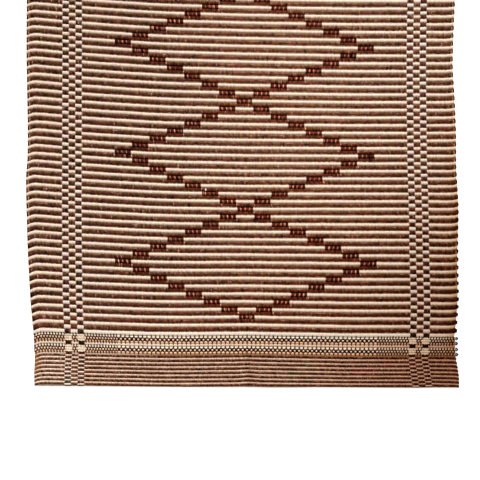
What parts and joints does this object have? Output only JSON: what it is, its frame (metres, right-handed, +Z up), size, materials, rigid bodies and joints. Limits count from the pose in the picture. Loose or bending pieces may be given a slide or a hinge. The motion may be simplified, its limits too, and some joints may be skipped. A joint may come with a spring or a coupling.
{
  "type": "cotton runner rug",
  "caption": "Flat rib-woven cotton runner rug with a dark and cream crossrib weave, a column of open diamonds, checked end borders and fine woven hems.",
  "frame": {"origin": "middle of the rug's underside, on the floor", "axes": "+Y along the rug from its near hem to its far one, +X to the right across it, +Z up out of its face"},
  "size_m": [0.7164, 1.646, 0.005],
  "materials": {
    "cotton_cloth": "matt warp-faced rib weave, cream and dark brown cotton"
  },
  "bodies": {
    "root": {"rug": "cotton_cloth"}
  },
  "joints": []
}
